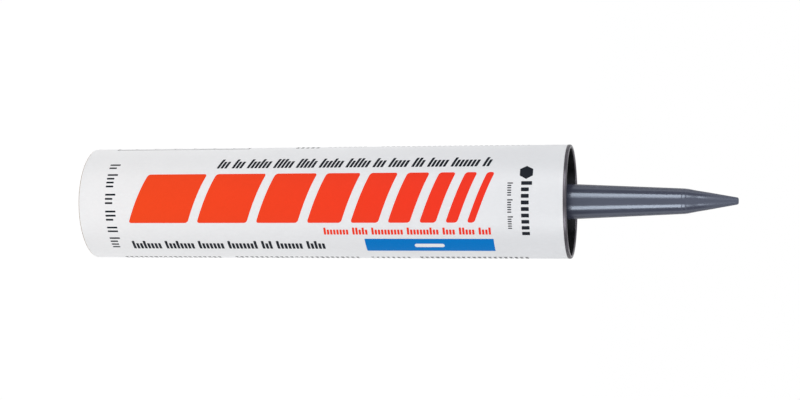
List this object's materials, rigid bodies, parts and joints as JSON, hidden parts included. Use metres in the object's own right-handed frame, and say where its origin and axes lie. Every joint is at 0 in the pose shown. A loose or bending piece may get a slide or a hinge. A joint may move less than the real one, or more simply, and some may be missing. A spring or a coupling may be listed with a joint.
{
  "type": "caulk tube",
  "caption": "Sealant cartridge for a caulking gun: printed paper barrel, tinplate front end, shut tapered nozzle, and a plunger that slides inside the open rear.",
  "frame": {"origin": "centre of the rear rim, which the cartridge stands on", "axes": "+Z along the barrel's axis towards the nozzle's tip; -Y faces the front panel of the label; +Y faces the label's glued lap"},
  "size_m": [0.0492, 0.0493, 0.2863],
  "materials": {
    "paper_tube": "spiral-wound kraft board with a cut edge",
    "printed_label": "coated white paper with printed fields of colour",
    "tinplate": "bright tinplate, pressed and rolled",
    "nozzle_plastic": "slate grey moulded polyethylene with a soft gloss",
    "foil": "thin bright foil",
    "sealant": "smooth white paste",
    "plunger_plastic": "natural white moulded polyethylene"
  },
  "bodies": {
    "barrel": {"paper_tube": "paper_tube", "printed_label": "printed_label", "front_end_plate": "tinplate", "nozzle": "nozzle_plastic", "foil_seal": "foil", "sealant": "sealant"},
    "plunger": {"plunger": "plunger_plastic"}
  },
  "joints": [
    {"name": "plunger_slide", "type": "slide", "parent": "barrel", "child": "plunger", "axis": [0, 0, 1], "range_m": [0, 0.175], "deforming": ["sealant"]}
  ]
}
